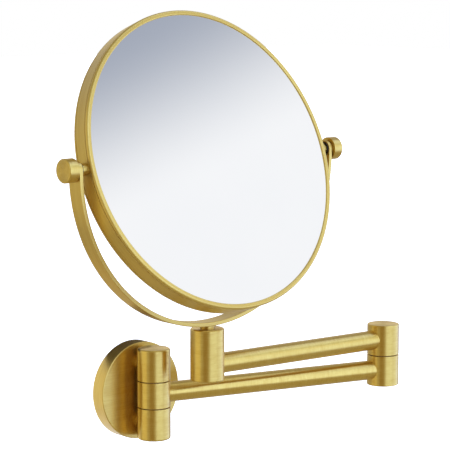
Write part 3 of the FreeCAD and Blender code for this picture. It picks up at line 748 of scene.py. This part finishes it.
@dataclass
class Yoke:
    """The flat band bent to a half circle, on its turning stem."""

    body: str = "yoke"
    thickness: float = 2.75 * MM
    edge: float = 0.4 * MM
    # A hair under the half width, so that the two roundings of an ear don't run into each other.
    ear_share: float = 0.998
    rim_angle: float = math.radians(60)
    bend_steps: int = 144
    end_steps: int = 14
    edge_steps: int = 3
    stem_steps: int = 64

    def measure(self) -> tuple[Vector, float, float, float]:
        """Measures the band on the CAD model.

        Returns:
            Centre of the half circle, its outer radius, half the band's width, and the ears'
            height over the centre.
        """
        low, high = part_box("yoke_band")
        outer, half = (high.x - low.x) / 2, (high.y - low.y) / 2
        centre = Vector(((low.x + high.x) / 2, (low.y + high.y) / 2, low.z + outer))
        return centre, outer, half, high.z - centre.z

    def band(self) -> None:
        """A section swept through half a turn, with its ends drawn up and rounded into ears."""
        centre, outer, half, rise = self.measure()
        inner = outer - self.thickness
        bm = bmesh.new()
        section = ((inner, -half), (outer, -half), (outer, half), (inner, half))
        start = bm.faces.new([bm.verts.new((radius, y, 0)) for radius, y in section])
        bmesh.ops.spin(
            bm, geom=[start], cent=(0, 0, 0), axis=Y, angle=math.pi, steps=self.bend_steps,
            use_merge=False, use_duplicate=False,
        )
        ends = [f for f in bm.faces if all(abs(v.co.z) < HAIR for v in f.verts)]
        for end in ends:
            grown = bmesh.ops.extrude_discrete_faces(bm, faces=[end])["faces"]
            bmesh.ops.translate(bm, verts=list({v for f in grown for v in f.verts}), vec=Z * rise)
        bmesh.ops.recalc_face_normals(bm, faces=bm.faces[:])
        top = [
            e for e in bm.edges
            if all(abs(v.co.z - rise) < HAIR for v in e.verts)
            and abs(e.verts[0].co.y - e.verts[1].co.y) < HAIR
        ]
        bmesh.ops.bevel(
            bm, geom=top, offset=half * self.ear_share, offset_type="OFFSET", affect="EDGES",
            segments=self.end_steps, profile=0.5, material=-1, clamp_overlap=False,
        )
        bmesh.ops.remove_doubles(bm, verts=bm.verts[:], dist=SPECK)
        rims = [
            e for e in bm.edges
            if len(e.link_faces) == 2 and e.calc_face_angle() > self.rim_angle
        ]
        bmesh.ops.bevel(
            bm, geom=rims, offset=self.edge, offset_type="OFFSET", affect="EDGES",
            segments=self.edge_steps, profile=0.5, material=-1, clamp_overlap=True,
        )
        bmesh.ops.recalc_face_normals(bm, faces=bm.faces[:])
        self.lay_along(bm, outer)
        bmesh.ops.translate(bm, verts=bm.verts[:], vec=centre)
        finished("band", bm, BRUSHED_BRASS, self.body, ["yoke_band"])

    def lay_along(self, bm: bmesh.types.BMesh, outer: float) -> None:
        """Grain map along the band: u in turns of its circle, v in mm across it.

        Args:
            bm: the mesh, with the circle's centre at the origin.
            outer: the circle's outer radius.
        """
        layer = bm.loops.layers.uv.new(GRAIN)
        for face in bm.faces:
            for loop in face.loops:
                place = loop.vert.co
                radius = math.hypot(place.x, place.z)
                if place.z > 0:
                    beyond = place.z / outer / math.tau
                    turn = beyond if place.x > 0 else -0.5 - beyond
                    radius = abs(place.x)
                else:
                    turn = -math.atan2(-place.z, place.x) / math.tau
                side = 1 if place.y > 0 else -1
                loop[layer].uv = (turn, (place.y + side * (outer - radius)) / MM)

    def stem(self) -> None:
        """The stem between socket and band, its top coped to the band's curve."""
        low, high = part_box("yoke_stem")
        radius = (high.x - low.x) / 2
        centre, outer, _, _ = self.measure()
        outline = [
            Corner(0, high.z), Corner(radius, high.z), Corner(radius, low.z, self.edge, BROKEN),
            Corner(0, low.z),
        ]
        bm = turned(outline, upright("yoke_stem"), self.stem_steps)
        for vert in bm.verts:
            if vert.co.z > high.z - SPECK:
                vert.co.z = centre.z - math.sqrt(outer ** 2 - (vert.co.x - centre.x) ** 2)
        finished("stem", bm, BRUSHED_BRASS, self.body, ["yoke_stem"])

    def build(self) -> None:
        """The yoke with its screws and washers."""
        self.band()
        self.stem()
        carry_over(TUMBLED_STEEL, "band_screw", "stem_screw", "stem_thrust_washer")
        carry_over(OILED_SPRING, "stem_spring_washer")


@dataclass
class RoundMirror:
    """The two-sided mirror in its brass frame, with the trunnions that it tilts on."""

    body: str = "mirror"
    shell_wall: float = 0.8 * MM
    shell_half: float = 4.9 * MM
    trim: float = 0.01 * MM
    seam: float = 0.2 * MM
    seam_edge: float = 0.3 * MM
    bezel_width: float = 3.5 * MM
    outer_round: float = 1.5 * MM
    outer_steps: int = 7
    inner_round: float = 0.8 * MM
    inner_steps: int = 5
    lip: float = 0.9 * MM
    skirt_end: float = 3.1 * MM
    fit: float = 0.03 * MM
    face: float = 7.35 * MM
    glass: float = 2.5 * MM
    glass_edge: float = 0.3 * MM
    concave: float = 1200 * MM
    trunnion_shank: float = 3.0 * MM
    trunnion_bore: float = 2.05 * MM
    steps: int = 256
    rings: int = 24
    trunnion_steps: int = 48

    def facing(self) -> Vector:
        """Finds which way the plain glass looks.

        Returns:
            The direction, square to the glass's largest facet and away from the wall.
        """
        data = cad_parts["plain_glass"].data
        normal = max(data.polygons, key=lambda p: p.area).normal
        return (normal if normal.y < 0 else -normal).normalized()

    def axis(self, side: int = 1) -> Axis:
        """The mirror's own axis, towards the plain side or the magnifying one."""
        return Axis(middle("mirror_shell"), self.facing() * side, X * side)

    def radius(self) -> float:
        """Outer radius of the frame, a hair inside the CAD's."""
        return size("mirror_shell").x / 2 - self.trim

    def shell(self) -> None:
        """The side wall between the two bezels."""
        outer = self.radius()
        inner = outer - self.shell_wall
        half = self.shell_half - self.seam
        outline = [
            Corner(inner, half), Corner(outer, half, self.seam_edge, BROKEN),
            Corner(outer, -half, self.seam_edge, BROKEN), Corner(inner, -half),
        ]
        bm = turned(outline, self.axis(), self.steps)
        finished("side_wall", bm, BRUSHED_BRASS, self.body, ["mirror_shell"])

    def bezel(self, name: str, side: int) -> None:
        """One rounded ring over a glass edge, with its skirt inside the side wall.

        Args:
            name: the CAD node that it stands for.
            side: 1 on the plain side, -1 on the magnifying one.
        """
        outer = self.radius()
        inner = outer - self.bezel_width
        skirt = outer - self.shell_wall - self.fit
        seat = self.face - self.lip
        foot = self.shell_half + self.seam
        outline = [
            Corner(inner, seat), Corner(inner, self.face, self.inner_round, self.inner_steps),
            Corner(outer, self.face, self.outer_round, self.outer_steps),
            Corner(outer, foot, self.seam_edge, BROKEN),
            Corner(skirt, foot), Corner(skirt, self.skirt_end),
            Corner(skirt - self.shell_wall, self.skirt_end), Corner(skirt - self.shell_wall, seat),
        ]
        bm = turned(outline, self.axis(side), self.steps)
        finished(f"{name}_ring", bm, BRUSHED_BRASS, self.body, [name])

    def glasses(self) -> None:
        """The flat glass and the hollow magnifying one."""
        radius = size("plain_glass").x / 2
        face = self.face - self.lip
        outline = [
            Corner(0, face), Corner(radius, face, self.glass_edge, BROKEN),
            Corner(radius, face - self.glass, self.glass_edge, BROKEN),
            Corner(0, face - self.glass),
        ]
        bm = turned(outline, self.axis(), self.steps)
        finished("plain_mirror", bm, SILVERED_GLASS, self.body, ["plain_glass"])
        centre = face + math.sqrt(self.concave ** 2 - radius ** 2)
        rings = [radius * step / self.rings for step in range(self.rings + 1)]
        front = [Corner(r, centre - math.sqrt(self.concave ** 2 - r ** 2)) for r in rings]
        back = self.concave + self.glass
        rear = [Corner(r, centre - math.sqrt(back ** 2 - r ** 2)) for r in reversed(rings)]
        bm = turned(front + rear, self.axis(-1), self.steps)
        finished("magnifying_mirror", bm, SILVERED_GLASS, self.body, ["magnifying_glass"])

    def trunnions(self) -> None:
        """The two bushes that the mirror tilts on."""
        for node, side in (("left_trunnion", -1), ("right_trunnion", 1)):
            low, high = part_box(node)
            neck = (high.z - low.z) / 2
            centre = Vector((middle("mirror_shell").x, (low.y + high.y) / 2, (low.z + high.z) / 2))
            reach = sorted(abs(x - centre.x) for x in (low.x, high.x))
            outline = [
                Corner(self.trunnion_bore, reach[0]), Corner(self.trunnion_shank, reach[0]),
                Corner(self.trunnion_shank, self.radius()), Corner(neck, self.radius()),
                Corner(neck, reach[1], self.glass_edge, BROKEN),
                Corner(self.trunnion_bore, reach[1]),
            ]
            bm = turned(outline, Axis(centre, X * side, Z), self.trunnion_steps)
            finished(f"{node}_bush", bm, BRUSHED_BRASS, self.body, [node])

    def build(self) -> None:
        """The whole mirror."""
        self.shell()
        self.bezel("front_bezel", 1)
        self.bezel("rear_bezel", -1)
        self.glasses()
        self.trunnions()
        carry_over(MOULDED_ABS, "core_ring")
        carry_over(FIBRE_BOARD, "glass_backing")
        carry_over(OILED_SPRING, "left_tilt_washer", "right_tilt_washer")


@dataclass
class Clamp:
    """A turned knob on its stud, at one end of the tilt axis."""

    side: int
    collar_radius: float = 4.5 * MM
    collar_length: float = 1.0 * MM
    end_round: float = 1.0 * MM
    back_edge: float = 0.4 * MM
    stud_bore: float = 2.03 * MM
    stud_depth: float = 5.03 * MM
    steps: int = 80

    def build(self) -> None:
        """The knob, brushed in rings on its end, and its stud."""
        name = "left" if self.side < 0 else "right"
        low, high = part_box(f"{name}_knob")
        radius = (high.z - low.z) / 2
        centre = Vector((middle("yoke_band").x, (low.y + high.y) / 2, (low.z + high.z) / 2))
        near, far = sorted(abs(x - centre.x) for x in (low.x, high.x))
        back = near + self.collar_length
        outline = [
            Corner(0, far), Corner(radius, far, self.end_round, ROUNDED),
            Corner(radius, back, self.back_edge, BROKEN), Corner(self.collar_radius, back),
            Corner(self.collar_radius, near), Corner(self.stud_bore, near),
            Corner(self.stud_bore, back + self.stud_depth), Corner(0, back + self.stud_depth),
        ]
        bm = turned(outline, Axis(centre, X * self.side, Z), self.steps)
        finished(f"{name}_turned_knob", bm, BRUSHED_BRASS, f"{name}_clamp", [f"{name}_knob"])
        carry_over(TUMBLED_STEEL, f"{name}_knob_stud")


# Studio ----------------------------------------------------------------------------


@dataclass(frozen=True)
class Panel:
    """A soft-edged card or light of the studio, placed by compass angle and height in degrees."""

    name: str
    compass: float
    height: float
    half_width: float
    half_height: float
    edge: float
    glow: Glow


@dataclass(frozen=True)
class Card:
    """A card near the wall, given by two opposite corners in metres."""

    name: str
    low: tuple[float, float, float]
    high: tuple[float, float, float]
    glow: Glow


@dataclass
class Studio:
    """Pale floor, soft light all round and the camera."""

    camera_place: Vector = field(default_factory=lambda: Vector((-0.83334, -1.03248, 0.28505)))
    camera_turn: float = -41.63
    camera_tilt: float = -7.52
    lens: float = 160.97
    sensor: float = 36.0
    sight: float = 100.0
    floor_drop: float = 0.45
    floor_half: float = 12.0
    floor_colour: str = "#f4f4f4"
    floor_rough: float = 0.9
    # The grey walls of the studio from floor to ceiling, before any panel stands in it.
    walls: Stops = (
        (-90, (0.40, 0.37, 0.28)), (-45, (0.40, 0.37, 0.28)), (-15, (0.47, 0.45, 0.40)),
        (20, (0.58, 0.59, 0.60)), (50, (0.42, 0.42, 0.42)), (90, (0.38, 0.38, 0.36)),
    )
    # Compass angles run from +X towards +Y. Later panels stand in front of earlier ones.
    panels: tuple[Panel, ...] = (
        Panel("left wall", 160, 5, 22, 38, 8, (0.90, 0.88, 0.68)),
        Panel("dark gap left of the camera", -143, -5, 16, 60, 8, (0.32, 0.24, 0.11)),
        Panel("key softbox", -86, 20, 28, 36, 12, (1.34, 1.74, 2.95)),
        Panel("front card", -27, 20, 29, 42, 10, (1.14, 1.46, 2.50)),
        Panel("card behind on the right", 51, 8, 18, 12, 8, (0.78, 0.70, 0.50)),
        Panel("low card behind", 85, -42, 26, 12, 6, (0.58, 0.49, 0.28)),
    )
    # What a sharp reflection in clear glass shows instead of the walls and lamps: an even grey.
    calm: Stops = (
        (-90, (0.46, 0.47, 0.49)), (-20, (0.56, 0.57, 0.59)), (15, (0.70, 0.72, 0.75)),
        (50, (0.84, 0.86, 0.89)), (90, (0.66, 0.68, 0.72)),
    )
    glass_cards: tuple[Panel, ...] = (
        Panel("white card that the plain glass shows", -44, 22, 9, 9, 4, (0.99, 0.98, 0.99)),
        Panel("grey card above it", -44, 33, 10, 7, 5, (0.40, 0.43, 0.51)),
    )
    # Glowing cards on the wall just behind the cover, seen only in the cover's rim: painted light
    # of the lit wall round it, painted shade of the wall above it.
    cards: tuple[Card, ...] = (
        Card("painted_lit_wall_card", (-0.046, 0.003, -0.046), (0.046, 0.003, 0.027), (0.95, 0.98, 1.05)),
        Card("painted_wall_shade_card", (-0.060, 0.003, 0.027), (0.020, 0.003, 0.062), (0.045, 0.04, 0.06)),
    )
    card_reach: float = 0.032

    def share(
        self, tree: bpy.types.NodeTree, angle: bpy.types.NodeSocket, centre: float, half: float,
        edge: float,
    ) -> bpy.types.NodeSocket:
        """How far an angle lies within a panel, from 0 outside to 1 inside.

        Args:
            tree: the world's tree.
            angle: the angle in radians.
            centre: the panel's own angle in degrees.
            half: half its reach in degrees.
            edge: how wide its soft edge is, in degrees.

        Returns:
            The share's socket.
        """
        off = add(tree, "ShaderNodeMath", {
            0: angle, 1: math.radians(centre),
        }, operation="SUBTRACT")
        far = add(tree, "ShaderNodeMath", {0: off.outputs[0]}, operation="ABSOLUTE")
        within = add(tree, "ShaderNodeMapRange", {
            "Value": far.outputs[0], "From Min": math.radians(half - edge / 2),
            "From Max": math.radians(half + edge / 2), "To Min": 1.0, "To Max": 0.0,
        }, interpolation_type="SMOOTHSTEP")
        return within.outputs[0]

    def hung(
        self, tree: bpy.types.NodeTree, look: bpy.types.NodeSocket, climb: bpy.types.NodeSocket,
        seen: bpy.types.NodeSocket, panel: Panel,
    ) -> bpy.types.NodeSocket:
        """Hangs a panel in front of what is there already.

        Args:
            tree: the world's tree.
            look: the direction that is looked in.
            climb: its angle over the horizon in radians.
            seen: the colour behind the panel.
            panel: the panel.

        Returns:
            The colour with the panel in front.
        """
        turned_to = add(tree, "ShaderNodeVectorRotate", {
            "Vector": look, "Angle": -math.radians(panel.compass),
        }, rotation_type="Z_AXIS")
        aside = add(tree, "ShaderNodeSeparateXYZ", {0: turned_to.outputs[0]})
        compass = add(tree, "ShaderNodeMath", {
            0: aside.outputs["Y"], 1: aside.outputs["X"],
        }, operation="ARCTAN2")
        across = self.share(tree, compass.outputs[0], 0, panel.half_width, panel.edge)
        along = self.share(tree, climb, panel.height, panel.half_height, panel.edge)
        inside = add(tree, "ShaderNodeMath", {0: across, 1: along}, operation="MULTIPLY")
        mixed = add(tree, "ShaderNodeMix", {
            0: inside.outputs[0], 6: seen, 7: (*panel.glow, 1.0),
        }, data_type="RGBA", label=panel.name)
        return mixed.outputs[2]

    def surroundings(self) -> None:
        """The world: plain white to the eye, soft panels and dark gaps to the metal."""
        world = bpy.data.worlds.new("studio")
        bpy.context.scene.world = world
        world.use_nodes = True
        tree = world.node_tree
        tree.nodes.clear()
        look = add(tree, "ShaderNodeTexCoord").outputs["Generated"]
        parts = add(tree, "ShaderNodeSeparateXYZ", {0: look})
        rise = add(tree, "ShaderNodeMath", {0: parts.outputs["Z"]}, operation="ARCSINE")
        climb = rise.outputs[0]
        upward = add(tree, "ShaderNodeMapRange", {
            "Value": climb, "From Min": -math.pi / 2, "From Max": math.pi / 2,
        })
        walls = add(tree, "ShaderNodeValToRGB", {0: upward.outputs[0]})
        set_stops(walls, self.walls)
        calm = add(tree, "ShaderNodeValToRGB", {0: upward.outputs[0]})
        set_stops(calm, self.calm)
        seen = walls.outputs[0]
        for panel in self.panels:
            seen = self.hung(tree, look, climb, seen, panel)
        eye = add(tree, "ShaderNodeLightPath")
        seen = add(tree, "ShaderNodeMix", {
            0: eye.outputs["Is Singular Ray"], 6: seen, 7: calm.outputs[0],
        }, data_type="RGBA").outputs[2]
        for panel in self.glass_cards:
            seen = self.hung(tree, look, climb, seen, panel)
        lit = add(tree, "ShaderNodeBackground", {"Color": seen, "Strength": 1.0})
        plain = add(tree, "ShaderNodeBackground", {"Color": (1, 1, 1, 1), "Strength": 1.0})
        sight = add(tree, "ShaderNodeMixShader", {
            0: eye.outputs["Is Camera Ray"], 1: lit.outputs[0], 2: plain.outputs[0],
        })
        add(tree, "ShaderNodeOutputWorld", {"Surface": sight.outputs[0]})

    def staged(
        self, name: str, bm: bmesh.types.BMesh, paint: bpy.types.Material,
    ) -> bpy.types.Object:
        """Makes a mesh into a backdrop.

        Args:
            name: the backdrop's name.
            bm: its mesh, used up here.
            paint: its material.

        Returns:
            The new object.
        """
        mesh = bpy.data.meshes.new(name)
        bm.to_mesh(mesh)
        bm.free()
        mesh.materials.append(paint)
        backdrop = bpy.data.objects.new(name, mesh)
        bpy.context.scene.collection.objects.link(backdrop)
        return backdrop

    def floor(self) -> None:
        """A plain pale floor below the object, which the metal doesn't mirror."""
        bm = bmesh.new()
        bmesh.ops.create_grid(bm, x_segments=4, y_segments=4, size=self.floor_half)
        bmesh.ops.translate(bm, verts=bm.verts[:], vec=Z * (CAD_BOX[0].z - self.floor_drop))
        paint = bpy.data.materials.new("pale_floor_paint")
        paint.use_nodes = True
        shader = paint.node_tree.nodes["Principled BSDF"]
        shader.inputs["Base Color"].default_value = linear(self.floor_colour)
        shader.inputs["Roughness"].default_value = self.floor_rough
        shader.inputs["Emission Color"].default_value = (1.0, 1.0, 1.0, 1.0)
        shader.inputs["Emission Strength"].default_value = 1.0
        self.staged("floor", bm, paint).visible_glossy = False

    def wall_cards(self) -> None:
        """The cards behind the cover, painted light and painted shade of the wall, which only the
        cover's rim is near enough to mirror.
        """
        stood_up = Matrix.Rotation(math.pi / 2, 3, "X")
        for plan in self.cards:
            low, high = Vector(plan.low), Vector(plan.high)
            bm = bmesh.new()
            # A square of one metre, stood up and drawn in to its size.
            bmesh.ops.create_grid(bm, x_segments=1, y_segments=1, size=0.5)
            bmesh.ops.rotate(bm, verts=bm.verts[:], cent=(0, 0, 0), matrix=stood_up)
            bmesh.ops.scale(bm, verts=bm.verts[:], vec=(high.x - low.x, 1, high.z - low.z))
            bmesh.ops.translate(bm, verts=bm.verts[:], vec=(low + high) / 2)
            paint = bpy.data.materials.new(f"{plan.name}_paint")
            paint.use_nodes = True
            tree = paint.node_tree
            tree.nodes.clear()
            path = add(tree, "ShaderNodeLightPath")
            beyond = add(tree, "ShaderNodeMath", {
                0: path.outputs["Ray Length"], 1: self.card_reach,
            }, operation="GREATER_THAN")
            shown = add(tree, "ShaderNodeEmission", {"Color": (*plan.glow, 1.0), "Strength": 1.0})
            hidden = add(tree, "ShaderNodeBsdfTransparent")
            both = add(tree, "ShaderNodeMixShader", {
                0: beyond.outputs[0], 1: shown.outputs[0], 2: hidden.outputs[0],
            })
            add(tree, "ShaderNodeOutputMaterial", {"Surface": both.outputs[0]})
            card = self.staged(plan.name, bm, paint)
            card.visible_camera = card.visible_diffuse = card.visible_shadow = False

    def camera(self) -> None:
        """The camera, a little above the object and to its left."""
        data = bpy.data.cameras.new("camera")
        data.lens = self.lens
        data.sensor_width = self.sensor
        data.clip_end = self.sight
        camera = bpy.data.objects.new("camera", data)
        camera.location = self.camera_place
        pitch, yaw = math.radians(90 + self.camera_tilt), math.radians(self.camera_turn)
        camera.rotation_euler = (pitch, 0, yaw)
        bpy.context.scene.collection.objects.link(camera)
        bpy.context.scene.camera = camera

    def build(self) -> None:
        """Light, floor and camera."""
        self.surroundings()
        self.floor()
        self.wall_cards()
        self.camera()
        bpy.context.scene.view_settings.view_transform = "Standard"
        LOG.info("studio: floor %.2f m below the object", self.floor_drop)


def main() -> None:
    """Builds every sub-assembly in order, then the studio."""
    logging.basicConfig(level=logging.INFO, format="%(name)s: %(message)s")
    pivot = Pivot()
    for part in (WallMount(pivot), FoldingArm(pivot), Yoke(), RoundMirror(), Clamp(-1), Clamp(1)):
        LOG.info("building %s", type(part).__name__)
        part.build()
    Studio().build()


if __name__ == "__main__":
    main()
